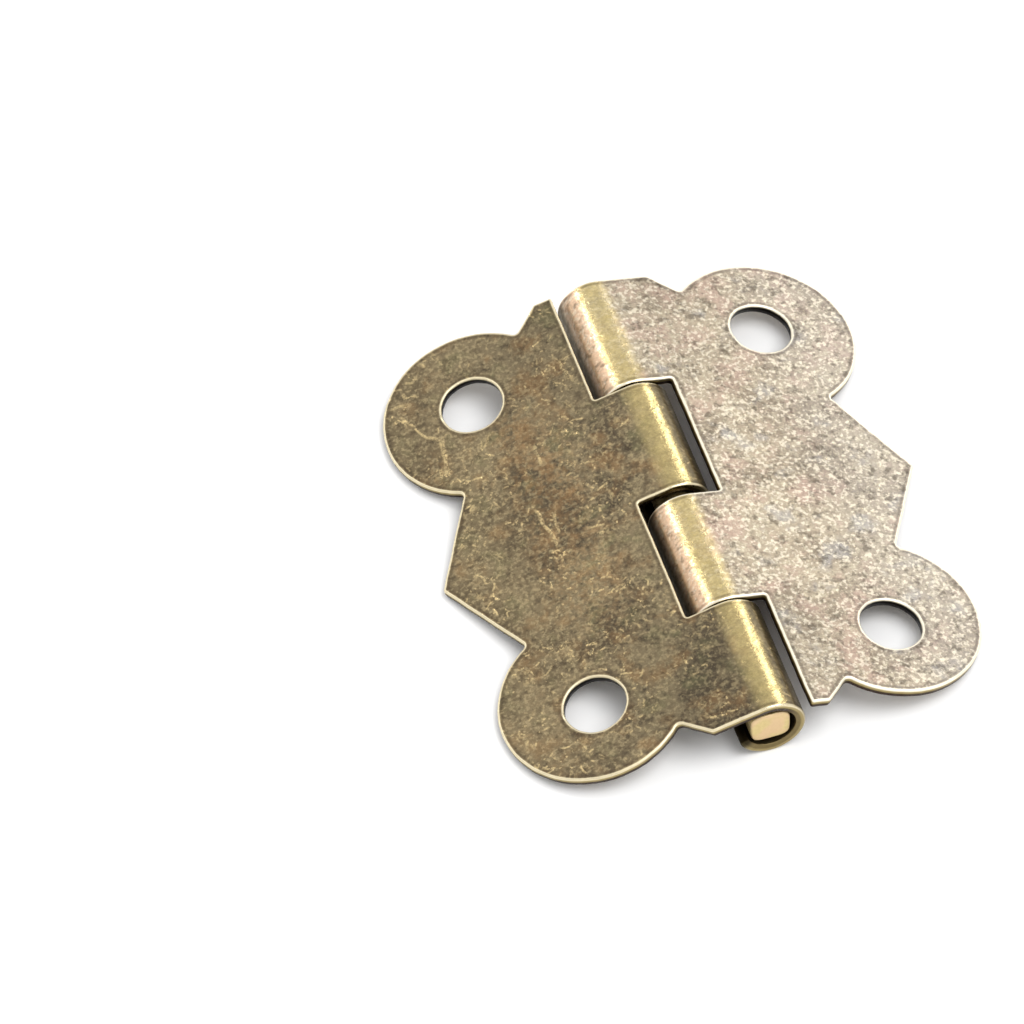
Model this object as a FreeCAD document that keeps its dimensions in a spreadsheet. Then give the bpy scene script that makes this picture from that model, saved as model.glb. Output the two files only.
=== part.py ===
import FreeCAD, Part
import math
import os
import Sketcher

# A butterfly hinge: two stamped leaves of thin brass sheet, rolled into knuckles around one loose pin.
# It lies open on a table, standing on its barrel and on the outer tip of each leaf.
# X runs across the leaves, Y along the pin, Z up. The origin is on the table, under the middle of the pin.
# Both leaves are the same stamping. The left one is the right one turned half round.
# Lengths are in millimetres and angles in degrees.

driving_sizes = (
    ("sheetThickness", 0.43, "thickness of the brass sheet"),
    ("pinDiameter", 1.9, "diameter of the hinge pin"),
    ("pinClearance", 0.17, "radial running gap between pin and knuckle"),
    ("rollAngle", 260, "turn of the rolled sheet, from the top of the barrel to its free edge"),
    ("knuckleLength", 6.13, "length of one knuckle"),
    ("middleGap", 0.46, "gap between the two middle knuckles"),
    ("jointGap", 0.06, "gap between a middle knuckle and its end knuckle"),
    ("slotClearance", 0.32, "a leaf's slot to the barrel's surface, from the under edge of the slot"),
    ("tabWidth", 0.88, "edge of a slot to the corner of the leaf, at the end of the barrel"),
    ("tabSlope", 46.5, "slope of the short edge from that corner to the lobe, off the pin axis"),
    ("apexReach", 10.88, "pin axis to the outer tip of a leaf"),
    ("edgeSlope", 29, "slope of the edge from the tip to the lobe, off the pin axis"),
    ("lobeRadius", 4.28, "radius of a lobe"),
    ("lobeReach", 6.56, "pin axis to the middle of a lobe"),
    ("lobeOverhang", 0.04, "how far a lobe reaches past the end of the barrel, along the pin"),
    ("holeDiameter", 2.75, "diameter of a screw hole"),
    ("holeOut", 0.04, "middle of a lobe to its screw hole, away from the pin"),
    ("holeAlong", 0.45, "middle of a lobe to its screw hole, towards the end of the barrel"),
    ("cornerRadius", 0.2, "rounding of the outline's corners"),
    ("pinchWidth", 0.05, "how much each side of the pin's end is pinched in"),
    ("pinchHeight", 0.13, "how much the top and bottom of the pin's end are pinched in"),
    ("pinchLength", 0.9, "length of each pinched end of the pin"),
    ("pinchRounding", 0.45, "rounding of the pinched end's long edges"),
    ("pinBevel", 0.12, "bevel round the face of the pin's end"),
    ("pinRecess", 0.1, "how far the pin's ends lie inside the barrel's ends"),
)

doc = FreeCAD.newDocument("ButterflyHinge")
sheet = doc.addObject("Spreadsheet::Sheet", "Sizes")
for row, (alias, value, meaning) in enumerate(driving_sizes, start=1):
    sheet.set(f"A{row}", alias)
    sheet.set(f"B{row}", str(value))
    sheet.set(f"C{row}", meaning)
    sheet.setAlias(f"B{row}", alias)
doc.recompute()

# Sizes that follow from the driving ones, each written once as a formula
bore_radius = "(Sizes.pinDiameter / 2 + Sizes.pinClearance)"
barrel_radius = f"({bore_radius} + Sizes.sheetThickness)"
half_barrel = "(2 * Sizes.knuckleLength + Sizes.jointGap + Sizes.middleGap / 2)"
slot_reach = f"sqrt(pow({barrel_radius} + Sizes.slotClearance; 2) - pow({bore_radius}; 2))"
tab_reach = f"({slot_reach} + Sizes.tabWidth)"
lobe_along = f"({half_barrel} + Sizes.lobeOverhang - Sizes.lobeRadius)"
hole_reach = "(Sizes.lobeReach + Sizes.holeOut)"
hole_along = f"({lobe_along} + Sizes.holeAlong)"

# The flat of a leaf runs straight over the top of its knuckles, so it lies as high as their bore
flat_under = bore_radius
flat_reach = f"({slot_reach} + Sizes.sheetThickness)"
free_edge_turn = "(Sizes.rollAngle - 270)"

half_pin = f"({half_barrel} - Sizes.pinRecess)"
half_shank = f"({half_pin} - Sizes.pinchLength)"
pin_end_width = "(Sizes.pinDiameter - 2 * Sizes.pinchWidth)"
pin_end_height = "(Sizes.pinDiameter - 2 * Sizes.pinchHeight)"

# Each leaf droops until its tip is level with the underside of the barrel
tip_distance = f"sqrt(pow(Sizes.apexReach; 2) + pow({flat_under}; 2))"
droop = f"(asin({barrel_radius} / {tip_distance}) + atan({flat_under} / Sizes.apexReach))"

same_place = 1e-4


def amount(formula):
    """Value of a formula, as a plain number."""
    result = sheet.evalExpression(formula)
    return float(getattr(result, "Value", result))


def vec(x, y):
    return FreeCAD.Vector(x, y, 0)


def on_circle(middle, radius, angle):
    return middle[0] + radius * math.cos(angle), middle[1] + radius * math.sin(angle)


class Drawing:
    """A sketch on one of a body's own origin planes, with dimensions that follow formulas."""

    origin = (-1, 1)

    def __init__(self, body, name, role, lift=None):
        plane = next(f for f in body.Origin.OriginFeatures if f.Role == role)
        self.sketch = body.newObject("Sketcher::SketchObject", f"{body.Name}_{name}")
        self.sketch.AttachmentSupport = [(plane, "")]
        self.sketch.MapMode = "FlatFace"
        if lift:
            self.sketch.setExpression("AttachmentOffset.Base.z", lift)
        doc.recompute()

    def line(self, start, end):
        return self.sketch.addGeometry(Part.LineSegment(vec(*start), vec(*end)))

    def circle(self, middle, radius):
        return self.sketch.addGeometry(Part.Circle(vec(*middle), FreeCAD.Vector(0, 0, 1), radius))

    def arc(self, middle, radius, from_angle, to_angle):
        circle = Part.Circle(vec(*middle), FreeCAD.Vector(0, 0, 1), radius)
        return self.sketch.addGeometry(Part.ArcOfCircle(circle, from_angle, to_angle))

    def rule(self, kind, *geometry):
        return self.sketch.addConstraint(Sketcher.Constraint(kind, *geometry))

    def size(self, name, kind, *geometry, formula):
        """A length that follows a formula."""
        index = self.rule(kind, *geometry, amount(formula))
        self.sketch.renameConstraint(index, name)
        self.sketch.setExpression(f"Constraints.{name}", formula)

    def slope(self, name, geometry, formula):
        """The direction of a line, which follows a formula in degrees."""
        index = self.rule("Angle", geometry, math.radians(amount(formula)))
        self.sketch.renameConstraint(index, name)
        self.sketch.setExpression(f"Constraints.{name}", f"{formula} * 1 deg")

    def place(self, name, point, across, along):
        """The place of a point, from the origin of the sketch, by two formulas."""
        for word, kind, formula in (("Across", "DistanceX", across), ("Along", "DistanceY", along)):
            ahead = amount(formula) >= 0
            order = (*self.origin, *point) if ahead else (*point, *self.origin)
            self.size(name + word, kind, *order, formula=formula if ahead else f"-{formula}")

    def done(self):
        """Solve the sketch and stop if its dimensions contradict each other."""
        doc.recompute()
        if self.sketch.solve() != 0:
            raise RuntimeError(f"{self.sketch.Name} can't be solved")
        return self.sketch


def new_pad(body, name, sketch, length, symmetric=False):
    pad = body.newObject("PartDesign::Pad", f"{body.Name}_{name}")
    pad.Profile = sketch
    pad.SideType = "Symmetric" if symmetric else "One side"
    pad.setExpression("Length", length)
    doc.recompute()
    return pad


def cut_through(body, name, sketch):
    """Cut a sketch through the whole body, both ways, and check that it removes something."""
    before = body.Tip.Shape.Volume
    pocket = body.newObject("PartDesign::Pocket", f"{body.Name}_{name}")
    pocket.Profile = sketch
    pocket.Type = "ThroughAll"
    pocket.Midplane = True
    doc.recompute()
    if pocket.Shape.Volume >= before:
        raise RuntimeError(f"{pocket.Name} cuts nothing")


def meet_circle(start, direction, middle, radius):
    """Point where a ray from start first meets a circle."""
    across = (start[0] - middle[0], start[1] - middle[1])
    along = across[0] * direction[0] + across[1] * direction[1]
    outside = across[0] ** 2 + across[1] ** 2 - radius ** 2
    reach = -along - math.sqrt(along ** 2 - outside)
    return start[0] + reach * direction[0], start[1] + reach * direction[1]


def upright_edges(shape, corners):
    """Names of the straight edges that stand on the given corners of the outline."""
    names = []
    for index, edge in enumerate(shape.Edges, start=1):
        first, last = edge.Vertexes[0].Point, edge.Vertexes[-1].Point
        upright = math.dist((first.x, first.y), (last.x, last.y)) < same_place
        if upright and any(math.dist((first.x, first.y), corner) < same_place for corner in corners):
            names.append(f"Edge{index}")
    return names


def draw_outline(body):
    """Flat outline of a leaf: a polygon with its tip outward and a round lobe at each side.

    It starts at the edge of the slots. Also gives the corners of the outline that are rounded afterwards.
    """
    half = amount(half_barrel)
    start = amount(slot_reach)
    radius = amount("Sizes.lobeRadius")
    middle = (amount("Sizes.lobeReach"), amount(lobe_along))
    tab = (amount(tab_reach), half)
    apex = (amount("Sizes.apexReach"), 0)
    tab_lean = math.radians(amount("Sizes.tabSlope"))
    edge_lean = math.radians(amount("Sizes.edgeSlope"))
    shoulder = meet_circle(tab, (math.sin(tab_lean), -math.cos(tab_lean)), middle, radius)
    waist = meet_circle(apex, (-math.sin(edge_lean), math.cos(edge_lean)), middle, radius)

    drawing = Drawing(body, "Outline", "XY_Plane", lift=flat_under)
    inner = drawing.line((start, -half), (start, half))
    drawing.rule("Vertical", inner)
    outer_edges = []
    for word, side, inner_end in (("Far", 1, 2), ("Near", -1, 1)):
        def there(point):
            return point[0], side * point[1]

        lobe_middle = there(middle)
        turns = [math.atan2(side * (y - middle[1]), x - middle[0]) for x, y in (waist, shoulder)]
        waist_end, shoulder_end = (1, 2) if side > 0 else (2, 1)
        end_edge = drawing.line((start, side * half), there(tab))
        tab_edge = drawing.line(there(tab), there(shoulder))
        lobe = drawing.arc(lobe_middle, radius, *(turns if side > 0 else turns[::-1]))
        outer_edge = drawing.line(there(waist), apex)
        outer_edges.append(outer_edge)
        drawing.rule("Coincident", inner, inner_end, end_edge, 1)
        drawing.rule("Coincident", end_edge, 2, tab_edge, 1)
        drawing.rule("Coincident", tab_edge, 2, lobe, shoulder_end)
        drawing.rule("Coincident", outer_edge, 1, lobe, waist_end)
        drawing.rule("Horizontal", end_edge)
        sign = "" if side > 0 else "-"
        drawing.place(f"tab{word}", (end_edge, 2), tab_reach, sign + half_barrel)
        drawing.place(f"lobe{word}", (lobe, 3), "Sizes.lobeReach", sign + lobe_along)
        drawing.size(f"lobeRadius{word}", "Radius", lobe, formula="Sizes.lobeRadius")
        for name, edge in (("tabSlope", tab_edge), ("edgeSlope", outer_edge)):
            lean = f"(Sizes.{name} - 90)" if side > 0 else f"(90 - Sizes.{name})"
            drawing.slope(name + word, edge, lean)
    drawing.rule("Coincident", outer_edges[0], 2, outer_edges[1], 2)
    drawing.rule("PointOnObject", outer_edges[0], 2, -1)
    drawing.size("apexReach", "DistanceX", *drawing.origin, outer_edges[0], 2, formula="Sizes.apexReach")
    drawing.size("innerEnd", "DistanceX", *drawing.origin, inner, 1, formula=slot_reach)
    corners = [apex]
    for x, y in (tab, shoulder, waist):
        corners += [(x, y), (x, -y)]
    return drawing.done(), corners


def draw_roll(body, word, middle):
    """Section of a knuckle: the flat of the leaf runs in over the pin, then rolls down round it."""
    outside = amount(barrel_radius)
    inside = amount(bore_radius)
    reach = amount(flat_reach)
    first_turn = math.pi / 2
    last_turn = math.radians(amount(free_edge_turn)) + 2 * math.pi

    drawing = Drawing(body, f"{word}Roll", "XZ_Plane", lift=f"-{middle}")
    outer = drawing.arc((0, 0), outside, first_turn, last_turn)
    inner = drawing.arc((0, 0), inside, first_turn, last_turn)
    free_edge = drawing.line(on_circle((0, 0), inside, last_turn), on_circle((0, 0), outside, last_turn))
    top_flat = drawing.line((0, outside), (reach, outside))
    under_flat = drawing.line((0, inside), (reach, inside))
    flat_end = drawing.line((reach, outside), (reach, inside))
    for circle in (outer, inner):
        drawing.rule("Coincident", circle, 3, *drawing.origin)
    drawing.rule("Coincident", inner, 2, free_edge, 1)
    drawing.rule("Coincident", outer, 2, free_edge, 2)
    drawing.rule("Coincident", top_flat, 2, flat_end, 1)
    drawing.rule("Coincident", under_flat, 2, flat_end, 2)
    for circle, flat in ((outer, top_flat), (inner, under_flat)):
        drawing.rule("Tangent", circle, 1, flat, 1)
        drawing.rule("Horizontal", flat)
    drawing.rule("Vertical", flat_end)
    drawing.size("barrelRadius", "Radius", outer, formula=barrel_radius)
    drawing.size("boreRadius", "Radius", inner, formula=bore_radius)
    drawing.size("flatReach", "DistanceX", *drawing.origin, flat_end, 1, formula=flat_reach)
    drawing.slope("freeEdge", free_edge, free_edge_turn)
    return drawing.done()


def build_leaf(label):
    """One leaf, drawn flat with the pin axis on Y and its tip towards X."""
    body = doc.addObject("PartDesign::Body", label)
    body.Label = label
    outline, corners = draw_outline(body)
    plate = new_pad(body, "Plate", outline, "Sizes.sheetThickness")
    rounded = body.newObject("PartDesign::Fillet", f"{label}_Corners")
    rounded.Base = (plate, upright_edges(plate.Shape, corners))
    rounded.setExpression("Radius", "Sizes.cornerRadius")
    doc.recompute()

    # Two knuckles stand out from the plate's inner edge, and the other leaf's knuckles turn beside them
    inner_middle = "(-Sizes.middleGap / 2 - Sizes.knuckleLength / 2)"
    outer_middle = f"({half_barrel} - Sizes.knuckleLength / 2)"
    for word, middle in (("Inner", inner_middle), ("Outer", outer_middle)):
        roll = draw_roll(body, word, middle)
        new_pad(body, f"{word}Knuckle", roll, "Sizes.knuckleLength", symmetric=True)

    holes = Drawing(body, "HoleOutlines", "XY_Plane")
    middle = (amount(hole_reach), amount(hole_along))
    for word, side, sign in (("Far", 1, ""), ("Near", -1, "-")):
        hole = holes.circle((middle[0], side * middle[1]), amount("Sizes.holeDiameter / 2"))
        holes.size(f"holeDiameter{word}", "Diameter", hole, formula="Sizes.holeDiameter")
        holes.place(f"hole{word}", (hole, 3), hole_reach, sign + hole_along)
    cut_through(body, "ScrewHoles", holes.done())
    return body


def draw_pinched_end(body):
    """Section of the pin's end: a rectangle with round corners."""
    rounding = amount("Sizes.pinchRounding")
    half_width = amount(pin_end_width) / 2 - rounding
    half_height = amount(pin_end_height) / 2 - rounding
    middles = ((half_width, half_height), (-half_width, half_height),
               (-half_width, -half_height), (half_width, -half_height))

    drawing = Drawing(body, "PinchedSection", "XZ_Plane")
    corners = []
    flats = []
    for quarter, middle in enumerate(middles):
        start = quarter * math.pi / 2
        end = start + math.pi / 2
        following = middles[(quarter + 1) % 4]
        corners.append(drawing.arc(middle, rounding, start, end))
        flats.append(drawing.line(on_circle(middle, rounding, end), on_circle(following, rounding, end)))
    for quarter in range(4):
        drawing.rule("Tangent", corners[quarter], 2, flats[quarter], 1)
        drawing.rule("Tangent", flats[quarter], 2, corners[(quarter + 1) % 4], 1)
    for flat, kind in zip(flats, ("Horizontal", "Vertical", "Horizontal")):
        drawing.rule(kind, flat)
    for corner in corners[1:]:
        drawing.rule("Equal", corners[0], corner)
    drawing.rule("Symmetric", corners[0], 3, corners[2], 3, *drawing.origin)
    drawing.size("rounding", "Radius", corners[0], formula="Sizes.pinchRounding")
    drawing.size("height", "DistanceY", flats[2], 1, flats[0], 1, formula=pin_end_height)
    drawing.size("width", "DistanceX", flats[1], 1, flats[3], 1, formula=pin_end_width)
    return drawing.done()


def build_pin():
    """The pin: a round wire with both ends pinched to a rounded rectangle."""
    body = doc.addObject("PartDesign::Body", "hinge_pin")
    body.Label = "hinge_pin"
    section = Drawing(body, "RoundSection", "XZ_Plane")
    wire = section.circle((0, 0), amount("Sizes.pinDiameter / 2"))
    section.rule("Coincident", wire, 3, *section.origin)
    section.size("pinDiameter", "Diameter", wire, formula="Sizes.pinDiameter")
    new_pad(body, "Shank", section.done(), f"2 * {half_shank}", symmetric=True)
    pinched = new_pad(body, "PinchedEnds", draw_pinched_end(body), f"2 * {half_pin}", symmetric=True)

    end_faces = []
    for index, face in enumerate(pinched.Shape.Faces, start=1):
        if abs(abs(face.CenterOfMass.y) - amount(half_pin)) < same_place:
            end_faces.append(f"Face{index}")
    bevel = body.newObject("PartDesign::Chamfer", "hinge_pin_Bevels")
    bevel.Base = (pinched, end_faces)
    bevel.setExpression("Size", "Sizes.pinBevel")
    doc.recompute()
    return body


right_leaf = build_leaf("right_leaf")
left_leaf = build_leaf("left_leaf")
hinge_pin = build_pin()

# All three turn about the pin axis, which lies one barrel radius above the table
drooping = FreeCAD.Rotation(FreeCAD.Vector(0, 1, 0), amount(droop))
half_turn = FreeCAD.Rotation(FreeCAD.Vector(0, 0, 1), 180)
right_leaf.Placement.Rotation = drooping
left_leaf.Placement.Rotation = half_turn.multiply(drooping)
for body in (left_leaf, right_leaf, hinge_pin):
    body.setExpression("Placement.Base.z", barrel_radius)
doc.recompute()

for item in doc.Objects:
    if "Invalid" in item.State or "Error" in item.State:
        raise RuntimeError(f"{item.Name} failed: {item.State}")

os.makedirs("parts", exist_ok=True)
for body in (left_leaf, right_leaf, hinge_pin):
    shape = body.Shape
    if shape.isNull() or not shape.isValid() or len(shape.Solids) != 1:
        raise RuntimeError(f"{body.Label} isn't one valid solid")
    box = shape.BoundBox
    print(f"{body.Label}: {shape.Volume:.3f} mm3, X {box.XMin:.3f} to {box.XMax:.3f}, "
          f"Y {box.YMin:.3f} to {box.YMax:.3f}, Z {box.ZMin:.3f} to {box.ZMax:.3f}")
    shape.exportStep(f"parts/{body.Label}.step")
print(f"Each leaf droops {amount(droop):.3f} degrees")
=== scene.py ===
import math

import bpy
import numpy as np
from mathutils import Matrix, Vector, noise
from mathutils.geometry import delaunay_2d_cdt


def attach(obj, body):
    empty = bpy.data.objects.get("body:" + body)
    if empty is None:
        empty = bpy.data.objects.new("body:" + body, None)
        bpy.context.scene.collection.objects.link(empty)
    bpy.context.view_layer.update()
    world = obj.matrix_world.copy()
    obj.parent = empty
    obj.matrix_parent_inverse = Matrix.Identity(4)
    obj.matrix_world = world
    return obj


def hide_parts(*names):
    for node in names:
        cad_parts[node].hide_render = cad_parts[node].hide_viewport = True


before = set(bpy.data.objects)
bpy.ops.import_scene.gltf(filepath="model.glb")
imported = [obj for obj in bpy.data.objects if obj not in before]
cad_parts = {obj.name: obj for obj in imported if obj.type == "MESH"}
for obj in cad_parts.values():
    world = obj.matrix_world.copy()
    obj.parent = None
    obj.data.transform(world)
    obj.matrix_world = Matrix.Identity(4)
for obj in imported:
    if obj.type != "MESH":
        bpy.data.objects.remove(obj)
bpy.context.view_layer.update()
print("frame loaded")

millimetre = 0.001
turnToAngle = math.pi / 180


def paint(red, green, blue):  # a screen colour, 0 to 255, as light
    def light(level):
        level = level / 255
        return level / 12.92 if level < 0.04045 else ((level + 0.055) / 1.055) ** 2.4
    return light(red), light(green), light(blue), 1.0


# the sheet that both leaves are stamped from

leafShape = {
    "thickness": 0.43,
    "bore": 1.12,
    "rollTurn": 260.0,
    "knuckle": 6.13,
    "middleGap": 0.46,
    "jointGap": 0.06,
    "slotEdge": 1.4975,
    "tab": 2.3775,
    "tabSlope": 46.5,
    "tip": 10.88,
    "edgeSlope": 29.0,
    "lobeRadius": 4.28,
    "lobeOut": 6.56,
    "lobeAlong": 8.31,
    "holeRadius": 1.375,
    "holeOut": 6.6,
    "holeAlong": 8.76,
    "corner": 0.2,
    "stripCorner": 0.14,
    "slotCorner": 0.1,
    "droop": 14.0245,
    "edgeWobble": 0.02,  # how uneven the worn outline is, always inwards
    "edgeWaves": ((0.8, 1.0), (3.1, 0.5)),  # waves per millimetre, their part
    "edgeBase": 0.9,
    "tornWobble": 0.012,  # how uneven the torn lower part of the cut is
    "tornWaves": 2.3,
    "tornFrom": -0.2,
    "tornTo": -0.05,
    "burrSize": 0.1,
    "edgeStep": 0.12,
    "cornerStep": 0.05,
    "holePoints": 90,
    "rings": (0.13, 0.2, 0.3, 0.45),  # how far from the edge the face's rings of points lie
    "coarseFrom": 0.25,  # rings further in than this have half the points
    "ringShare": 0.96,  # a ring's point nearer the edge than this share of its depth is dropped
    "ringGap": 0.1,  # from the last ring to the grid
    "flatStep": 0.3,
    "rollStep": 0.11,
}

# how the cut edge runs from the top face to the under face: distance in from the outline, height
cutEdge = (
    (0.080, 0.215), (0.045, 0.207), (0.020, 0.190), (0.004, 0.160), (0.0, 0.120), (0.0, 0.0),
    (0.003, -0.060), (0.018, -0.085), (0.022, -0.150), (0.034, -0.196), (0.055, -0.212), (0.080, -0.215),
)


def meetCircle(start, direction, middle, radius):  # where a straight edge runs into a lobe
    across = (start[0] - middle[0], start[1] - middle[1])
    along = across[0] * direction[0] + across[1] * direction[1]
    outside = across[0] ** 2 + across[1] ** 2 - radius ** 2
    reach = -along - math.sqrt(along ** 2 - outside)
    return start[0] + reach * direction[0], start[1] + reach * direction[1]


def lobeArc(middle, start, end, step):  # points of a lobe's edge, turning left from start to end
    first = math.atan2(start[1] - middle[1], start[0] - middle[0])
    last = math.atan2(end[1] - middle[1], end[0] - middle[0])
    while last < first:
        last += 2 * math.pi
    radius = math.dist(start, middle)
    count = max(2, round((last - first) * radius / step))
    turns = [first + (last - first) * i / count for i in range(count + 1)]
    return [(middle[0] + radius * math.cos(t), middle[1] + radius * math.sin(t)) for t in turns]


def spreadAlong(points, skipStart, skipEnd, step):  # even points along a run, cut back at both ends
    points = np.array(points)
    gone = np.concatenate([[0], np.cumsum(np.hypot(*np.diff(points, axis=0).T))])
    count = max(2, round((gone[-1] - skipStart - skipEnd) / step))
    at = np.linspace(skipStart, gone[-1] - skipEnd, count + 1)
    return np.stack([np.interp(at, gone, points[:, 0]), np.interp(at, gone, points[:, 1])], 1)


def roundedLoop(runs, radii, step, cornerStep):  # radii[i] rounds the corner where run i starts
    def heading(a, b):
        return math.atan2(b[1] - a[1], b[0] - a[0])
    turns = []
    for i, run in enumerate(runs):
        before = runs[i - 1]
        turn = heading(run[0], run[1]) - heading(before[-2], before[-1])
        turns.append((turn + math.pi) % (2 * math.pi) - math.pi)
    skips = [radius * math.tan(abs(turn) / 2) for radius, turn in zip(radii, turns)]
    loop = []
    for i, run in enumerate(runs):
        following = (i + 1) % len(runs)
        points = spreadAlong(run, skips[i], skips[following], step)
        loop.extend(points.tolist())
        turn, radius = turns[following], radii[following]
        start = heading(points[-2], points[-1])
        side = math.copysign(1, turn)
        middle = points[-1] + side * radius * np.array((-math.sin(start), math.cos(start)))
        count = max(3, round(abs(turn) * radius / cornerStep))
        for k in range(1, count):
            now = start + turn * k / count
            loop.append((middle - side * radius * np.array((-math.sin(now), math.cos(now)))).tolist())
    return np.array(loop)


def leafOutline(shape):  # the flat blank: out from the pin, and along it; the roll lies at minus values
    step = shape["edgeStep"]
    half = 2 * shape["knuckle"] + shape["jointGap"] + shape["middleGap"] / 2
    rollEnd = -(shape["bore"] + shape["thickness"] / 2) * shape["rollTurn"] * turnToAngle
    slot, tab, tip = shape["slotEdge"], shape["tab"], (shape["tip"], 0.0)
    lobe = (shape["lobeOut"], shape["lobeAlong"])
    lean, slope = shape["tabSlope"] * turnToAngle, shape["edgeSlope"] * turnToAngle
    shoulder = meetCircle((tab, half), (math.sin(lean), -math.cos(lean)), lobe, shape["lobeRadius"])
    waist = meetCircle(tip, (-math.sin(slope), math.cos(slope)), lobe, shape["lobeRadius"])

    def near(point):
        return point[0], -point[1]
    nearArc = lobeArc(near(lobe), near(shoulder), near(waist), step)
    farArc = lobeArc(lobe, waist, shoulder, step)
    inner, outer = shape["middleGap"] / 2, half - shape["knuckle"]
    big, strip, pocket = shape["corner"], shape["stripCorner"], shape["slotCorner"]
    straight = [
        ((slot, -half), strip), ((tab, -half), big), (nearArc, big), (near(waist), big), (tip, big),
        (farArc, big), (shoulder, big), ((tab, half), shape["farTabCorner"]), ((rollEnd, half), strip),
        ((rollEnd, outer), strip), ((slot, outer), pocket), ((slot, -inner), pocket),
        ((rollEnd, -inner), strip), ((rollEnd, -inner - shape["knuckle"]), strip),
        ((slot, -inner - shape["knuckle"]), pocket),
    ]
    runs, radii = [], []
    for i, (start, radius) in enumerate(straight):
        following = straight[(i + 1) % len(straight)][0]
        end = following[0] if isinstance(following, list) else following
        runs.append(start if isinstance(start, list) else [start, end])
        radii.append(radius)
    loops = [roundedLoop(runs, radii, step, shape["cornerStep"])]
    for side in (1, -1):
        turns = -np.linspace(0, 2 * math.pi, shape["holePoints"], endpoint=False)
        hole = np.stack([np.cos(turns), np.sin(turns)], 1) * shape["holeRadius"]
        loops.append(hole + (shape["holeOut"], side * shape["holeAlong"]))
    return loops


def inwardNormals(loop):
    along = np.roll(loop, -1, 0) - np.roll(loop, 1, 0)
    along /= np.hypot(*along.T)[:, None]
    return np.stack([-along[:, 1], along[:, 0]], 1)


def measureFrom(points, loops):  # distance to the nearest edge, and whether it lies on the metal
    starts = np.concatenate(loops)
    along = np.concatenate([np.roll(loop, -1, 0) for loop in loops]) - starts
    size = (along ** 2).sum(1)
    rise = np.where(along[:, 1] == 0, 1e-12, along[:, 1])  # never quite level
    nearest, inside = np.empty(len(points)), np.empty(len(points), bool)
    block = 1000
    for first in range(0, len(points), block):
        off = points[first:first + block, None, :] - starts
        part = np.clip((off * along).sum(2) / size, 0, 1)
        gap = off - part[..., None] * along
        nearest[first:first + block] = np.sqrt((gap ** 2).sum(2).min(1))
        crosses = (off[..., 1] < 0) != (off[..., 1] - along[:, 1] < 0)
        before = off[..., 0] < off[..., 1] * along[:, 0] / rise
        inside[first:first + block] = (crosses & before).sum(1) % 2 == 1
    return nearest, inside


def evenGrid(lowP, highP, stepP, lowV, highV, stepV):
    across = np.linspace(lowP, highP, max(2, round((highP - lowP) / stepP)))
    along = np.linspace(lowV, highV, max(2, round((highV - lowV) / stepV)))
    return np.stack(np.meshgrid(across, along), -1).reshape(-1, 2)


def ripple(points, waves, seed):
    return np.array([noise.noise(Vector((*(point * waves), seed))) for point in points])


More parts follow.
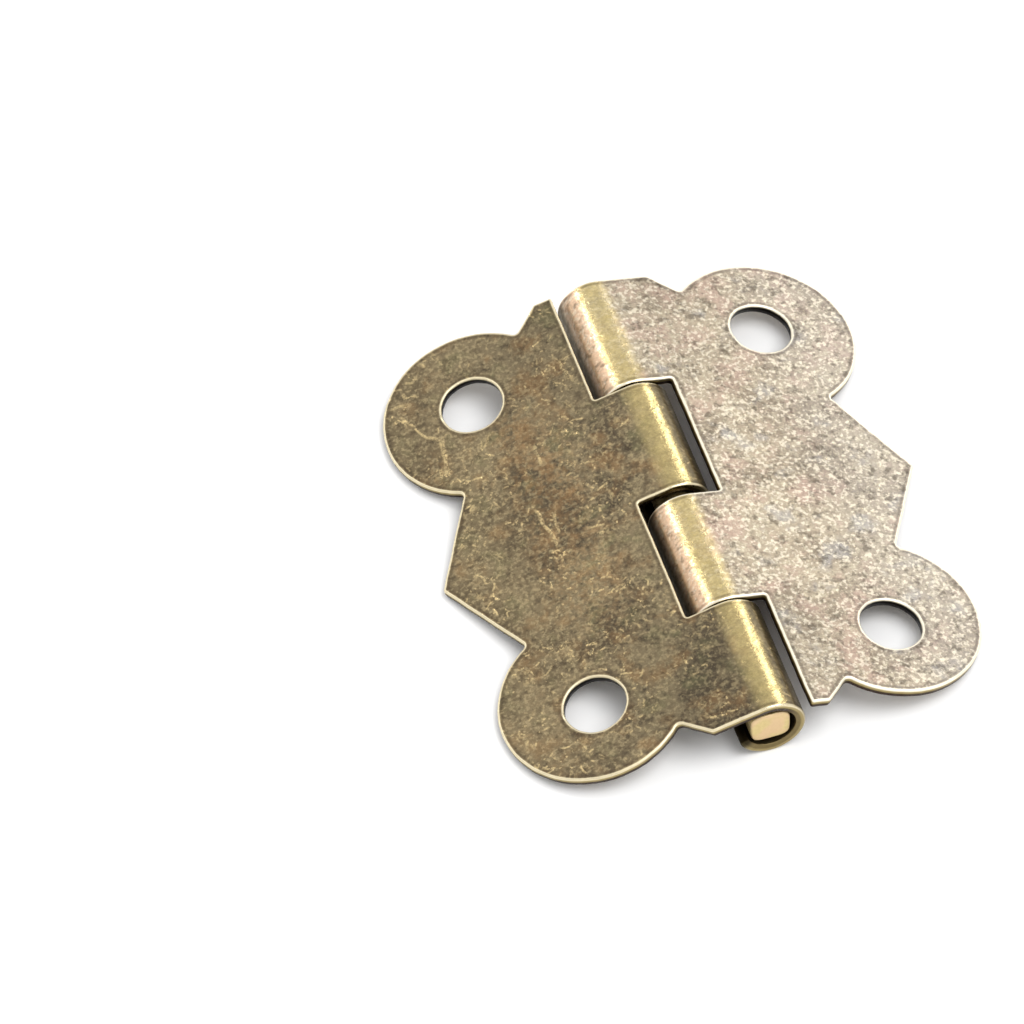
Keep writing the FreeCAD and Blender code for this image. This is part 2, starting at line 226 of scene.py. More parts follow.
def sheetMesh(shape, seed, burrs):  # one stamped blank, closed: out, along, height, distance to its edge
    loops = leafOutline(shape)
    for loop in loops:  # worn dies leave the edge a little uneven, never outside the true outline
        uneven = sum(share * ripple(loop, waves, seed) for waves, share in shape["edgeWaves"])
        loop += inwardNormals(loop) * (shape["edgeWobble"] * (shape["edgeBase"] + uneven))[:, None]
    normals = [inwardNormals(loop) for loop in loops]
    outline, inward = np.concatenate(loops), np.concatenate(normals)
    ringLoops = [loop + normal * cutEdge[0][0] for loop, normal in zip(loops, normals)]
    rimCount = len(outline)

    lowP, highP = outline[:, 0].min(), outline[:, 0].max()
    lowV, highV = outline[:, 1].min(), outline[:, 1].max()
    inner = []
    for depth in shape["rings"]:
        ring = (outline + inward * depth)[::1 if depth < shape["coarseFrom"] else 2]
        away, onMetal = measureFrom(ring, loops)
        inner.append(ring[onMetal & (away > depth * shape["ringShare"])])
    clear = shape["rings"][-1] + shape["ringGap"]
    for grid in (evenGrid(0.0, highP, shape["flatStep"], lowV, highV, shape["flatStep"]),
                 evenGrid(lowP, -shape["rollStep"], shape["rollStep"], lowV, highV, shape["flatStep"])):
        away, onMetal = measureFrom(grid, loops)
        inner.append(grid[onMetal & (away > clear)])
    inner = np.concatenate(inner)
    points = np.concatenate([*ringLoops, inner])

    rims = []
    first = 0
    for loop in loops:
        count = len(loop)
        rims += [(first + i, first + (i + 1) % count) for i in range(count)]
        first += count
    found = delaunay_2d_cdt([Vector(p) for p in points.tolist()], rims, [], 0, 1e-7)
    source = [ids[0] for ids in found[3]]
    skin = np.array([[source[i] for i in face] for face in found[2]])
    onMetal = measureFrom(points[skin].mean(1), ringLoops)[1]
    skin = skin[onMetal]

    levels, extra = len(cutEdge), len(inner)
    wallP = [outline + inward * depth for depth, height in cutEdge]
    wobble = ripple(outline, shape["tornWaves"], seed)
    for k, (depth, height) in enumerate(cutEdge):
        if shape["tornFrom"] < height < shape["tornTo"]:
            wallP[k] = wallP[k] + inward * (shape["tornWobble"] * wobble[:, None])
    away = measureFrom(inner, loops)[0]
    flat = np.concatenate([*wallP, inner, inner])
    half = shape["thickness"] / 2
    height = np.concatenate([*[np.full(rimCount, level) for depth, level in cutEdge],
                             np.full(extra, half), np.full(extra, -half)])
    rim = np.concatenate([*[np.full(rimCount, depth) for depth, level in cutEdge], away, away])
    for burrOut, burrAlong, lift in burrs:  # small burrs that the punch threw up, on the top face only
        gap = np.hypot(flat[:, 0] - burrOut, flat[:, 1] - burrAlong) / shape["burrSize"]
        height += lift * np.exp(-gap ** 2) * (height > half / 2)

    def onFace(ids, level, base):  # a skin's vertices: its ring belongs to the wall
        return np.where(ids < rimCount, ids + level * rimCount, ids - rimCount + base)
    top = onFace(skin, 0, levels * rimCount)
    under = onFace(skin, levels - 1, levels * rimCount + extra)[:, ::-1]
    faces = top.tolist() + under.tolist()
    for a, b in rims:
        for upper in range(0, (levels - 1) * rimCount, rimCount):
            lower = upper + rimCount
            faces.append((a + upper, a + lower, b + lower, b + upper))
    return np.column_stack([flat, height]), rim, faces


def foldLeaf(blank, shape, half):  # rolls the knuckles round the pin, tilts the leaf to the table
    out, along, height = blank.T
    middle = shape["bore"] + shape["thickness"] / 2
    turn = np.minimum(out, 0) / middle
    u = np.where(out >= 0, out, (middle + height) * np.sin(turn))
    z = np.where(out >= 0, middle + height, (middle + height) * np.cos(turn))
    droop = shape["droop"] * turnToAngle
    x = u * math.cos(droop) + z * math.sin(droop)
    rise = z * math.cos(droop) - u * math.sin(droop) + shape["bore"] + shape["thickness"]
    return np.stack([half * x, half * along, rise], 1) * millimetre


def newObject(name, points, faces, material):
    mesh = bpy.data.meshes.new(name)
    mesh.from_pydata(points.tolist(), [], faces)
    mesh.materials.append(material)
    mesh.shade_smooth()
    piece = bpy.data.objects.new(name, mesh)
    bpy.context.scene.collection.objects.link(piece)
    return piece


def keepValues(piece, name, kind, values):
    field = "vector" if kind == "FLOAT_VECTOR" else "value"
    kept = piece.data.attributes.new(name, kind, "POINT")
    kept.data.foreach_set(field, np.ravel(values).astype(np.float32))


# a workbench for materials

class Wire:  # one output of a node, which sums and products can be written with
    def __init__(self, bench, socket):
        self.bench, self.socket = bench, socket

    def __add__(self, other):
        return self.bench.reckon("ADD", self, other)

    def __radd__(self, other):
        return self.bench.reckon("ADD", other, self)

    def __sub__(self, other):
        return self.bench.reckon("SUBTRACT", self, other)

    def __rsub__(self, other):
        return self.bench.reckon("SUBTRACT", other, self)

    def __mul__(self, other):
        return self.bench.reckon("MULTIPLY", self, other)

    def __rmul__(self, other):
        return self.bench.reckon("MULTIPLY", other, self)


class Bench:
    def __init__(self, name):
        self.material = bpy.data.materials.new(name)
        self.material.use_nodes = True
        self.tree = self.material.node_tree
        self.shader = next(n for n in self.tree.nodes if n.type == "BSDF_PRINCIPLED")

    def put(self, kind, settings, inputs, outlets=0):
        node = self.tree.nodes.new(kind)
        for name, value in settings.items():
            setattr(node, name, value)
        for name, value in inputs.items():
            self.feed(node.inputs[name], value)
        if isinstance(outlets, tuple):
            return [Wire(self, node.outputs[name]) for name in outlets]
        return Wire(self, node.outputs[outlets])

    def feed(self, socket, value):
        if isinstance(value, Wire):
            self.tree.links.new(value.socket, socket)
        else:
            socket.default_value = value

    def reckon(self, operation, first, second):
        sides = [side for side in (first, second) if isinstance(side, Wire)]
        wide = any(side.socket.type in ("VECTOR", "RGBA") for side in sides)
        wide = wide or any(isinstance(side, tuple) for side in (first, second))
        if wide:
            first, second = (
                (side,) * 3 if isinstance(side, (int, float)) else side for side in (first, second))
        kind = "ShaderNodeVectorMath" if wide else "ShaderNodeMath"
        return self.put(kind, {"operation": operation}, {0: first, 1: second})

    def blend(self, amount, first, second):  # from one colour to another
        settings = {"data_type": "RGBA", "clamp_factor": True}
        return self.put("ShaderNodeMix", settings, {0: amount, 6: first, 7: second}, 2)

    def fade(self, value, low, high):  # 0 below low, 1 above high
        return self.put("ShaderNodeMapRange", {"interpolation_type": "SMOOTHSTEP"},
                        {"Value": value, "From Min": low, "From Max": high})

    def size(self, value):
        return self.put("ShaderNodeMath", {"operation": "ABSOLUTE"}, {0: value})

    def cloud(self, place, scale, detail=2.0, rough=0.5, warp=0.0):
        inputs = {"Vector": place, "Scale": scale, "Detail": detail, "Roughness": rough,
                  "Distortion": warp}
        return self.put("ShaderNodeTexNoise", {}, inputs)

    def parts(self, vector):
        return self.put("ShaderNodeSeparateXYZ", {}, {0: vector}, ("X", "Y", "Z"))

    def bump(self, height, strength, depth):
        inputs = {"Height": height, "Strength": strength, "Distance": depth}
        return self.put("ShaderNodeBump", {}, inputs, "Normal")

    def finish(self, **sockets):
        for name, value in sockets.items():
            self.feed(self.shader.inputs[name.replace("_", " ")], value)
        return self.material


rubShape = {
    "fullTurn": 6.28,
    "bow": 2.2,
    "shortest": 0.3,
    "softEnd": 0.35,
    "softSide": 0.7,
}


def rubMarks(bench, place, cells, halfLength, halfWidth):  # short bright rubs, each its own way round
    settings = {"voronoi_dimensions": "2D", "feature": "F1"}
    chance, middle = bench.put(
        "ShaderNodeTexVoronoi", settings, {"Vector": place, "Scale": cells}, ("Color", "Position"))
    turn, bend, length = bench.parts(chance)
    turned = bench.put("ShaderNodeVectorRotate", {"rotation_type": "Z_AXIS"},
                       {"Vector": place - middle, "Angle": turn * rubShape["fullTurn"]})
    along, across = bench.parts(turned)[:2]
    bowed = across + (bend - 0.5) * rubShape["bow"] * along * along
    reach = length * halfLength + rubShape["shortest"] * halfLength
    inLength = bench.fade(reach - bench.size(along), 0.0, rubShape["softEnd"] * halfLength)
    inWidth = bench.fade(halfWidth - bench.size(bowed), 0.0, rubShape["softSide"] * halfWidth)
    return inLength * inWidth


def nearLine(bench, out, along, line, halfWidth):  # 1 on a line of the sheet, 0 beside it
    (startOut, startAlong), (endOut, endAlong) = line
    reach = math.hypot(endOut - startOut, endAlong - startAlong)
    stepOut, stepAlong = (endOut - startOut) / reach, (endAlong - startAlong) / reach
    forward = (out - startOut) * stepOut + (along - startAlong) * stepAlong
    aside = (out - startOut) * stepAlong - (along - startAlong) * stepOut
    fromMiddle = bench.size(forward - reach / 2)
    inLength = bench.fade(fromMiddle, reach / 2 + halfWidth, reach / 2 - 2 * halfWidth)
    return inLength * bench.fade(bench.size(aside), halfWidth, 0.2 * halfWidth)


# antique brass: what differs between the leaves, then what they share

leafFinish = {
    "left_leaf": {
        "shift": (3.1, 7.7, 1.3),
        "dark": paint(82, 71, 54), "middle": paint(126, 112, 85), "warm": paint(140, 108, 70),
        "cool": paint(110, 107, 74), "rub": paint(214, 190, 138), "pale": paint(186, 171, 132),
        "bead": paint(190, 172, 130), "flank": paint(122, 108, 78), "lip": paint(232, 219, 184),
        "outer": paint(124, 108, 78), "haze": paint(150, 112, 68),
        "rubAmount": 0.65, "paleAmount": 0.35, "paleFrom": 0.5, "giltAmount": 0.42,
        "beadAmount": 0.3, "tabDimming": 0.2, "goldAmount": 0.62,
        "scratches": (  # from one point of the sheet to another, half width
            (((9.75, -9.7), (8.95, -8.0)), 0.09), (((9.0, -8.1), (8.35, -7.6)), 0.14),
            (((8.4, -7.7), (8.6, -6.5)), 0.2), (((8.55, -6.9), (8.75, -5.6)), 0.13),
            (((8.15, -12.1), (7.85, -11.7)), 0.12), (((9.0, -11.35), (8.6, -11.2)), 0.1),
            (((10.0, -10.25), (9.5, -10.3)), 0.11), (((4.75, -5.4), (4.8, -4.2)), 0.12),
            (((5.75, -2.1), (5.5, 0.3)), 0.12), (((5.1, -1.6), (5.2, -0.4)), 0.1),
        ),
        "hazes": (  # the same for brown haze
            (((8.9, -7.0), (8.9, -5.2)), 1.0), (((6.2, -6.0), (4.6, -7.2)), 1.1),
            (((4.4, -7.6), (5.2, 0.0)), 2.4), (((5.0, -1.0), (4.8, 5.5)), 2.8),
        ),
    },
    "right_leaf": {
        "shift": (23.4, 1.9, 5.6),
        # the right leaf's tones are lighter than the left leaf's: partly its paler speckled patina, partly
        # painted light for the leaf that faces the right softbox
        "dark": paint(130, 117, 99), "middle": paint(160, 147, 126), "warm": paint(176, 148, 134),
        "cool": paint(146, 147, 150), "rub": paint(226, 212, 180), "pale": paint(206, 198, 172),
        "bead": paint(238, 228, 206), "flank": paint(230, 194, 160), "lip": paint(252, 244, 222),
        "outer": paint(150, 145, 140),
        "rubAmount": 0.15, "paleAmount": 0.5, "paleFrom": 0.46, "giltAmount": 0.1,
        "beadAmount": 0.45, "tabDimming": 0.12, "goldAmount": 0.75,
        "scratches": (), "hazes": (),
    },
}
brassTones = {
    "gold": paint(218, 196, 132),
    "cut": paint(160, 144, 100),
    "shade": paint(52, 36, 24),
    "pocket": paint(78, 70, 50),
    # painted deep shade, for the hole walls and the free end of the roll
    "deepShade": paint(16, 11, 9),
    "spot": paint(66, 54, 38),
}
brassClouds = {  # shift, scale, detail, roughness, warp
    "broad": ((0.0, 0.0, 0.0), 0.32, 3.0, 0.55, 0.4),
    "broadOther": ((11.0, 5.0, 2.0), 0.6, 3.0, 0.6, 0.0),
    "mottle": ((0.0, 0.0, 0.0), 2.6, 5.0, 0.7, 0.0),
    "grain": ((0.0, 0.0, 0.0), 5.0, 3.0, 0.75, 0.0),
    "flecks": ((4.0, 9.0, 7.0), 5.2, 4.0, 0.72, 0.0),
    "beads": ((2.0, 3.0, 8.0), 5.6, 1.0, 0.5, 0.0),
    "spots": ((8.0, 2.0, 3.0), 3.0, 2.0, 0.55, 0.0),
    "worn": ((1.0, 6.0, 4.0), 0.5, 2.0, 0.5, 0.0),
    "gilt": ((6.0, 1.0, 5.0), 1.5, 5.0, 0.75, 0.5),
    "polish": ((0.0, 0.0, 0.0), 1.4, 4.0, 0.75, 0.0),
}
brassRubs = (  # shift, marks per millimetre, half length, half width
    ((0.0, 0.0, 0.0), 0.6, 0.55, 0.085),
    ((5.3, 2.2, 0.0), 1.1, 0.3, 0.07),
    ((9.1, 3.7, 0.0), 2.1, 0.14, 0.06),
)
brassBands = {  # where a mark starts to show, where it shows in full
    "middle": (0.36, 0.62),
    "warm": (0.5, 0.68),
    "cool": (0.46, 0.3),
    "outer": (4.0, 9.0),
    "flank": (-0.7, -1.1),
    "beads": (0.5, 0.66),
    "spots": (0.52, 0.7),
    "worn": (0.4, 0.62),
    "rubs": (0.4, 0.58),
    "gilt": (0.54, 0.68),
    "haze": (0.4, 0.62),
    "scratch": (0.36, 0.58),
    "onRoll": (0.5, -0.35),
    "down": (-1.4, -2.1),
    "polish": (-1.15, -0.85),
    "sheen": (-1.25, -0.95),
    "outerFace": (-0.1, 0.05),
    "hidden": (-0.2, -0.9),
    "tabsAlong": (3.5, 9.0),
    "tabsOut": (6.5, 3.5),
    "lip": (0.12, 0.08),
    "lipHeight": (0.06, 0.15),
    # painted shade: a thin dark line on the top face just inside the lip
    "edgeShade": (0.12, 0.17),
    "edgeShadeInside": (0.32, 0.2),
    "edgeShadeHeight": (0.1, 0.2),
    "wall": (0.079, 0.06),
    "wallHeight": (0.17, 0.1),
    "tornHeight": (0.06, -0.04),
    "holeWall": (2.3, 2.1),  # square of the distance from the hole's middle
    "curled": (-0.9, -2.0),
    "freeEnd": (-5.5, -5.95),
}
brassRagged = {  # how far the mottling moves the limit of a mark
    "middle": 0.8,
    "outer": 3.0,
    "onRoll": 0.6,
    "down": 0.3,
    "polish": 0.4,
}
brassAmounts = {
    "paleRange": 0.26,
    "warm": 0.55,
    "cool": 0.5,
    "outer": 0.35,
    "flank": 0.75,
    "spots": 0.5,
    "haze": 0.38,
    "scratch": 0.6,
    "hidden": 0.9,
    "edgeShade": 0.4,
    "freeEnd": 0.85,
    "rubsUnworn": 0.06,
    "scratchThin": 0.15,
    "bend": 0.5,  # how far the lines of scratches and hazes bend
    "polishLeast": 0.35,
    "polishMottled": 1.1,
    "pocketLeast": 0.7,
    "pocketMottled": 0.5,
    "lipLeast": 0.65,
    "lipMottled": 0.5,
    "lipLostInRoll": 0.4,
    "tornLostInRoll": 0.5,
    "grainDarkest": 0.5,
    "brightness": 1.06,
    "coat": 0.35,
    "coatRoughness": 0.3,
    "bump": 0.5,
    "bumpDepth": 0.02,
}
brassRough = {"base": 0.42, "mottle": 0.22, "spots": 0.1, "sheen": 0.2, "rubs": 0.1, "down": 0.05}
brassDents = {"mottle": 0.6, "grain": 0.7, "spots": 0.5, "rubs": 0.6}


def antiqueBrass(name, finish):
    bench = Bench(name)
    blank = bench.put("ShaderNodeAttribute", {"attribute_name": "blank"}, {}, "Vector")
    rim = bench.put("ShaderNodeAttribute", {"attribute_name": "rim"}, {}, "Fac")
    out, along, height = bench.parts(blank)
    place = blank + finish["shift"]
    amounts = brassAmounts

    def cloud(kind):
        shift, *rest = brassClouds[kind]
        return bench.cloud(place + shift, *rest)

    def band(value, kind):
        return bench.fade(value, *brassBands[kind])

    broad, broadOther = cloud("broad"), cloud("broadOther")
    mottle, grain = cloud("mottle"), cloud("grain")

    def raggedBand(value, kind):
        return band(value + (mottle - 0.5) * brassRagged[kind], kind)

    colour = bench.blend(raggedBand(broad, "middle"), finish["dark"], finish["middle"])
    colour = bench.blend(band(broadOther, "warm") * amounts["warm"], colour, finish["warm"])
    colour = bench.blend(band(broadOther, "cool") * amounts["cool"], colour, finish["cool"])

    colour = bench.blend(raggedBand(out, "outer") * amounts["outer"], colour, finish["outer"])
    pale = bench.fade(cloud("flecks"), finish["paleFrom"], finish["paleFrom"] + amounts["paleRange"])
    colour = bench.blend(pale * finish["paleAmount"], colour, finish["pale"])
    # a band down the knuckle's side; on the right leaf it is far lighter than the flat: partly pinkish
    # patina, partly painted light next to the knuckle's highlight
    colour = bench.blend(band(out, "flank") * amounts["flank"], colour, finish["flank"])
    colour = bench.blend(band(cloud("beads"), "beads") * finish["beadAmount"], colour, finish["bead"])
    spots = band(cloud("spots"), "spots")
    colour = bench.blend(spots * amounts["spots"], colour, brassTones["spot"])

    worn = band(cloud("worn"), "worn")
    rubs = sum(rubMarks(bench, place + shift, *sizes) for shift, *sizes in brassRubs)
    rubs = rubs * (amounts["rubsUnworn"] + (1 - amounts["rubsUnworn"]) * worn) * band(grain, "rubs")
    gilt = band(cloud("gilt"), "gilt") * worn
    colour = bench.blend(gilt * finish["giltAmount"], colour, finish["rub"])
    colour = bench.blend(rubs * finish["rubAmount"], colour, finish["rub"])

    bentOut = out + (broadOther - 0.5) * amounts["bend"]
    solid = amounts["scratchThin"] + (1 - amounts["scratchThin"]) * band(grain, "scratch")
    for line, halfWidth in finish["hazes"]:
        haze = nearLine(bench, bentOut, along, line, halfWidth) * band(mottle, "haze")
        colour = bench.blend(haze * amounts["haze"], colour, finish["haze"])
    for line, halfWidth in finish["scratches"]:
        scratch = nearLine(bench, bentOut, along, line, halfWidth) * solid
        colour = bench.blend(scratch * amounts["scratch"], colour, finish["rub"])
        rubs = rubs + scratch

    # knuckles rubbed bright over the pin; further down the roll darkens, partly untouched patina and partly
    # painted shade, and inside the roll is painted shade
    onRoll, down, outerFace = raggedBand(out, "onRoll"), raggedBand(out, "down"), band(height, "outerFace")
    polished = onRoll * raggedBand(out, "polish") * outerFace
    polished = polished * (amounts["polishLeast"] + amounts["polishMottled"] * cloud("polish"))
    colour = bench.blend(polished * finish["goldAmount"], colour, brassTones["gold"])
    # painted shade on the inside face of the roll, facing the pin
    hidden = band(out, "hidden") * (1 - outerFace)
    colour = bench.blend(hidden * amounts["hidden"], colour, brassTones["shade"])
    # the roll's lower side darker: partly unrubbed patina, partly painted shade where it turns down into
    # the slot
    patinaAndShade = down * (amounts["pocketLeast"] + amounts["pocketMottled"] * mottle)
    colour = bench.blend(patinaAndShade, colour, brassTones["pocket"])
    towardsTabs = band(bench.size(along), "tabsAlong") * band(out, "tabsOut")
    light = amounts["brightness"] - finish["tabDimming"] * towardsTabs * (1 - onRoll)
    colour = colour * ((amounts["grainDarkest"] + grain) * light)

    # the cut edge: bright where the top face turns down, partly bare worn brass and partly painted
    # highlight; dark at its torn lower part, partly dull torn metal and partly painted shade
    curled = band(out, "curled")
    # painted highlight along the top of the cut edge, over the lighter worn edge
    lip = band(rim, "lip") * band(height, "lipHeight") * (1 - amounts["lipLostInRoll"] * curled)
    lip = lip * (amounts["lipLeast"] + amounts["lipMottled"] * mottle)
    # painted shade: a thin dark line on the top face just inside the bright lip
    edgeShade = band(rim, "edgeShade") * band(rim, "edgeShadeInside") * band(height, "edgeShadeHeight")
    wall = band(rim, "wall") * band(height, "wallHeight")
    # the torn lower part of the edge: dull torn metal, darkened further as painted shade
    torn = band(rim, "wall") * band(height, "tornHeight") * (1 - amounts["tornLostInRoll"] * curled)
    holeOut, holeAlong = out - leafShape["holeOut"], bench.size(along) - leafShape["holeAlong"]
    inHole = band(holeOut * holeOut + holeAlong * holeAlong, "holeWall")
    colour = bench.blend(edgeShade * amounts["edgeShade"], colour, brassTones["shade"])
    colour = bench.blend(lip, colour, finish["lip"])
    colour = bench.blend(wall, colour, brassTones["cut"])
    colour = bench.blend(torn, colour, brassTones["shade"])
    # painted deep shade on the hole walls and on the free end tucked under the roll
    colour = bench.blend(wall * inHole, colour, brassTones["deepShade"])
    colour = bench.blend(band(out, "freeEnd") * amounts["freeEnd"], colour, brassTones["deepShade"])

    sheen = onRoll * band(out, "sheen")
    rough = brassRough["base"] + brassRough["mottle"] * (mottle - 0.5) + brassRough["spots"] * spots
    rough = rough - brassRough["sheen"] * sheen - brassRough["rubs"] * rubs + brassRough["down"] * down
    dents = brassDents["mottle"] * mottle + brassDents["grain"] * grain
    dents = dents - brassDents["spots"] * spots - brassDents["rubs"] * rubs
    return bench.finish(
        Base_Color=colour, Metallic=1.0, Roughness=rough, Coat_Roughness=amounts["coatRoughness"],
        Coat_Weight=amounts["coat"] * (1 - down) * (1 - wall),
        Normal=bench.bump(dents, amounts["bump"], amounts["bumpDepth"] * millimetre))


leafWear = {
    "left_leaf": {
        "body": "left_half",
        "half": -1,
        "seed": 1.7,
        "farTabCorner": 0.2,
        "burrs": ((8.07, -8.73, 0.1), (8.07, 8.68, 0.1), (5.15, 8.9, 0.03)),  # out, along, height
    },
    "right_leaf": {
        "body": "right_half",
        "half": 1,
        "seed": 7.7,
        "farTabCorner": 0.5,
        "burrs": ((5.2, 8.4, 0.03), (7.6, -9.9, 0.03)),
    },
}

for side, wear in leafWear.items():
    stamped = dict(leafShape, farTabCorner=wear["farTabCorner"])
    blankPoints, rimDistance, blankFaces = sheetMesh(stamped, wear["seed"], wear["burrs"])
    print("blank meshed:", len(blankPoints), "points,", len(blankFaces), "faces")
    brass = antiqueBrass("antique brass, " + side.replace("_", " "), leafFinish[side])
    leaf = newObject(side + "_sheet", foldLeaf(blankPoints, leafShape, wear["half"]), blankFaces, brass)
    keepValues(leaf, "blank", "FLOAT_VECTOR", blankPoints)
    keepValues(leaf, "rim", "FLOAT", rimDistance)
    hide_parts(side)
    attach(leaf, wear["body"])
print("leaves made")


# the pin

pinShape = {
    "radius": 0.95,
    "halfLength": 12.45,
    "pinchedHalfWidth": 0.9,
    "pinchedHalfHeight": 0.82,
    "pinchedTo": 0.72,
    "roundFrom": 1.05,
    "squareness": 4.0,
    "around": 96,
    "height": 1.55,
    "dent": 0.006,  # how uneven the cut end face is
    "dentsAround": 3,
    "dentTwist": 5,
    "endMiddle": 0.012,  # depth of the middle of the end face
    "endFace": ((0.012, 0.3), (0.014, 0.55), (0.010, 0.75), (0.0, 0.87)),  # depth, part of the width
    "bevel": ((0.012, 0.085), (0.045, 0.035), (0.12, 0.0)),  # depth, how far in
    "faceDepth": 0.02,  # only rings nearer the end than this are dented
    "pinchRings": 5,
    "roundRings": 7,
    "shankRings": 60,
}


def pinRing(shape, inwards, pinched, share, depth):  # square where pinched is 1, round where it is 0
    turns = np.linspace(0, 2 * math.pi, shape["around"], endpoint=False)
    across, up = np.cos(turns), np.sin(turns)
    power = shape["squareness"]
    wide, tall = shape["pinchedHalfWidth"] - inwards, shape["pinchedHalfHeight"] - inwards
    square = 1 / ((np.abs(across) / wide) ** power + (np.abs(up) / tall) ** power) ** (1 / power)
    reach = (square * pinched + (shape["radius"] - inwards) * (1 - pinched)) * share
    dent = shape["dent"] * np.sin(shape["dentsAround"] * turns + depth * shape["dentTwist"])
    deep = np.full_like(turns, depth) + dent * share * (depth < shape["faceDepth"])
    return np.stack([across * reach, deep, up * reach], 1)


def pinMesh(shape):
    end, faceInwards, bevelDepth = shape["halfLength"], shape["bevel"][0][1], shape["bevel"][-1][0]
    pinchedTo, roundFrom = shape["pinchedTo"], shape["roundFrom"]
    endRows = [pinRing(shape, faceInwards, 1.0, share, depth) for depth, share in shape["endFace"]]
    endRows += [pinRing(shape, inwards, 1.0, 1.0, depth) for depth, inwards in shape["bevel"]]
    for depth in np.linspace(bevelDepth, pinchedTo, shape["pinchRings"])[1:]:
        endRows.append(pinRing(shape, 0.0, 1.0, 1.0, depth))
    for part in np.linspace(0, 1, shape["roundRings"])[1:]:
        depth = pinchedTo + (roundFrom - pinchedTo) * part
        endRows.append(pinRing(shape, 0.0, (1 + math.cos(math.pi * part)) / 2, 1.0, depth))
    nearRows = [row - (0, end, 0) for row in endRows]
    farRows = [row * (1, -1, 1) for row in nearRows[::-1]]
    ring = pinRing(shape, 0.0, 0.0, 1.0, 0.0) * (1, 0, 1)
    shankPlaces = np.linspace(roundFrom - end, end - roundFrom, shape["shankRings"])[1:-1]
    shank = [ring + (0, y, 0) for y in shankPlaces]
    rows = nearRows + shank + farRows
    middles = [[0, shape["endMiddle"] - end, 0]], [[0, end - shape["endMiddle"], 0]]
    points = np.concatenate([*rows, *middles])
    count = shape["around"]
    faces = []
    for r in range(len(rows) - 1):
        for i in range(count):
            a, b = r * count + i, r * count + (i + 1) % count
            faces.append((a, b, b + count, a + count))
    nearMiddle, farMiddle = len(points) - 2, len(points) - 1
    last = (len(rows) - 1) * count
    for i in range(count):
        faces.append((nearMiddle, (i + 1) % count, i))
        faces.append((farMiddle, last + i, last + (i + 1) % count))
    return points + (0, 0, shape["height"]), faces


pinTones = {
    "bright": paint(238, 216, 158),
    "face": paint(212, 194, 142),
    "blush": paint(222, 190, 158),
    "dull": paint(196, 170, 112),
    "shade": paint(92, 74, 46),
}
pinBands = {  # where a mark starts to show, where it shows in full
    "drawn": (0.35, 0.65),
    "scuffs": (0.58, 0.7),
    "buried": (12.1, 11.6),  # along the pin, inside the barrel
    "face": (12.3, 12.4),
    "blush": (0.42, 0.6),
}
pinClouds = {"drawn": (2.0, 3.0), "grain": (7.0, 3.0, 0.7), "blush": (1.1, 2.0)}  # scale, detail, roughness
pinAmounts = {
    "drawnOut": (3.0, 0.4, 3.0),
    "scuffs": 0.25,
    "buried": 0.7,
    "face": 0.85,
    "blush": 0.6,
    "rough": 0.3,
    "roughGrain": 0.2,
    "roughFace": 0.15,
    "smoothFace": 0.8,
    "bump": 0.4,
    "bumpDepth": 0.01,
}


def wireBrass():
    bench = Bench("plain brass wire")
    place = bench.put("ShaderNodeAttribute", {"attribute_name": "blank"}, {}, "Vector")
    along = bench.parts(place)[1]
    amounts = pinAmounts
    drawn = bench.cloud(place * amounts["drawnOut"], *pinClouds["drawn"])
    grain = bench.cloud(place, *pinClouds["grain"])
    colour = bench.blend(bench.fade(drawn, *pinBands["drawn"]), pinTones["dull"], pinTones["bright"])
    scuffs = bench.fade(grain, *pinBands["scuffs"])
    colour = bench.blend(scuffs * amounts["scuffs"], colour, pinTones["shade"])
    # painted shade on the pin where it lies inside the barrel
    buried = bench.fade(bench.size(along), *pinBands["buried"])
    colour = bench.blend(buried * amounts["buried"], colour, pinTones["shade"])
    face = bench.fade(bench.size(along), *pinBands["face"])
    colour = bench.blend(face * amounts["face"], colour, pinTones["face"])
    blush = bench.fade(bench.cloud(place, *pinClouds["blush"]), *pinBands["blush"])
    colour = bench.blend(face * blush * amounts["blush"], colour, pinTones["blush"])
    dents = (grain + drawn) * (1 - amounts["smoothFace"] * face)
    rough = amounts["rough"] + amounts["roughGrain"] * grain + amounts["roughFace"] * face
    return bench.finish(Base_Color=colour, Metallic=1.0, Roughness=rough,
                        Normal=bench.bump(dents, amounts["bump"], amounts["bumpDepth"] * millimetre))


pinPoints, pinFaces = pinMesh(pinShape)
pin = newObject("hinge_pin_wire", pinPoints * millimetre, pinFaces, wireBrass())
keepValues(pin, "blank", "FLOAT_VECTOR", pinPoints)
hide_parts("hinge_pin")
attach(pin, "left_half")
print("pin made")


# table, light and camera

studio = {
    "floorTone": paint(250, 250, 250),
    "sky": 0.95,
    "lamps": (
        # name, degrees right of straight back, degrees up, distance, width, height, strength, tone
        ("right softbox", 48, 33, 0.5, 0.05, 0.26, 5.4, (1.0, 0.99, 0.985)),
        ("left softbox", -41, 40, 0.5, 0.035, 0.26, 7.0, (1.0, 0.98, 0.95)),
        ("front softbox", 130, 64, 0.5, 0.34, 0.34, 3.9, (1.0, 1.0, 1.0)),
    ),
}


def softbox(name, azimuth, elevation, away, width, height, strength, tone):
    data = bpy.data.lights.new(name, "AREA")
    data.shape = "RECTANGLE"
    data.size, data.size_y = width, height
    data.energy = strength * width * height * math.pi
    data.color = tone
    lamp = bpy.data.objects.new(name, data)
    a, e = azimuth * turnToAngle, elevation * turnToAngle
    toLamp = Vector((math.sin(a) * math.cos(e), math.cos(a) * math.cos(e), math.sin(e)))
    lamp.location = toLamp * away
    lamp.rotation_euler = toLamp.to_track_quat("Z", "Y").to_euler()
    bpy.context.scene.collection.objects.link(lamp)


for lampSettings in studio["lamps"]:
    softbox(*lampSettings)

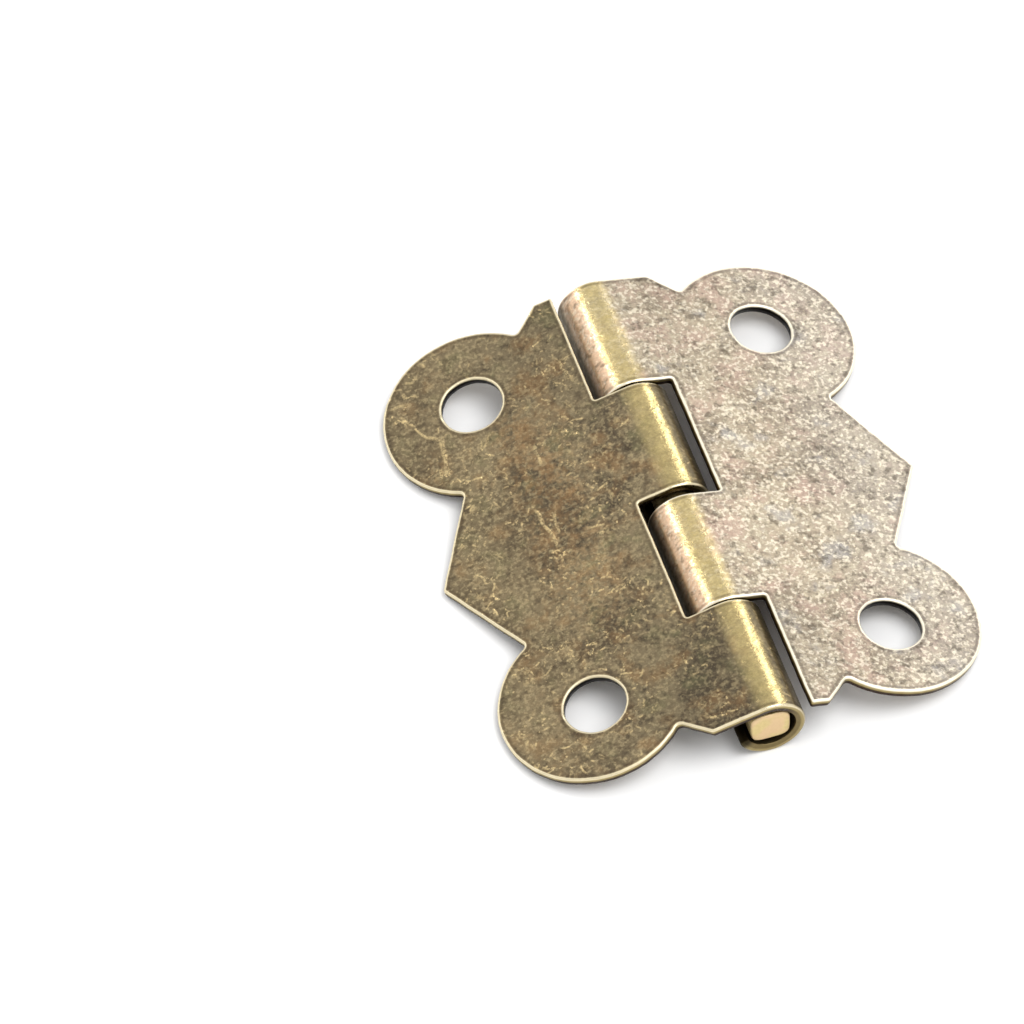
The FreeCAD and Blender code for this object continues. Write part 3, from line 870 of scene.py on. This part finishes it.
world = bpy.data.worlds.new("studio")
world.use_nodes = True
sky = next(n for n in world.node_tree.nodes if n.type == "BACKGROUND")
sky.inputs["Color"].default_value = (1, 1, 1, 1)
sky.inputs["Strength"].default_value = studio["sky"]
bpy.context.scene.world = world

floorBench = Bench("white table")
floorBench.finish(Base_Color=studio["floorTone"], Roughness=0.9, Specular_IOR_Level=0.1)
tableRings, tableAround = (0.03, 0.1, 0.4, 1.5), 48  # metres from the middle, points in a ring
floorPoints, floorFaces = [(0, 0, 0)], []
for radius in tableRings:
    for i in range(tableAround):
        turn = 2 * math.pi * i / tableAround
        floorPoints.append((radius * math.cos(turn), radius * math.sin(turn), 0))
for i in range(tableAround):
    floorFaces.append((0, 1 + i, 1 + (i + 1) % tableAround))
    for ring in range(len(tableRings) - 1):
        a, b = 1 + ring * tableAround + i, 1 + ring * tableAround + (i + 1) % tableAround
        floorFaces.append((a, a + tableAround, b + tableAround, b))
floor = newObject("table_top", np.array(floorPoints, float), floorFaces, floorBench.material)
floor.location.z = -0.01 * millimetre  # just clear of the hinge

cameraPlace = {
    "axes": ((0.9516111, -0.30661186, -0.0206272), (0.2531507, 0.74409439, 0.61825421),
             (-0.17421549, -0.59355936, 0.78570748)),  # right, up and back
    "away": (-49.95288883, -152.82491024, 204.38496586),  # from the middle of the pin
    "awayUnit": 0.0015,  # metres
    "pinHeight": 0.00155,
    "lens": 312.364,
    "sensor": 36,
    "clip": (0.01, 20),
}
cameraData = bpy.data.cameras.new("camera")
cameraData.sensor_width = cameraPlace["sensor"]
cameraData.lens = cameraPlace["lens"]
cameraData.clip_start, cameraData.clip_end = cameraPlace["clip"]
camera = bpy.data.objects.new("camera", cameraData)
turned = Matrix(cameraPlace["axes"]).transposed().to_4x4()
where = Vector(cameraPlace["away"]) * cameraPlace["awayUnit"]
where.z += cameraPlace["pinHeight"]
camera.matrix_world = Matrix.Translation(where) @ turned
bpy.context.scene.collection.objects.link(camera)
bpy.context.scene.camera = camera
bpy.context.scene.view_settings.view_transform = "Standard"
print("studio set")
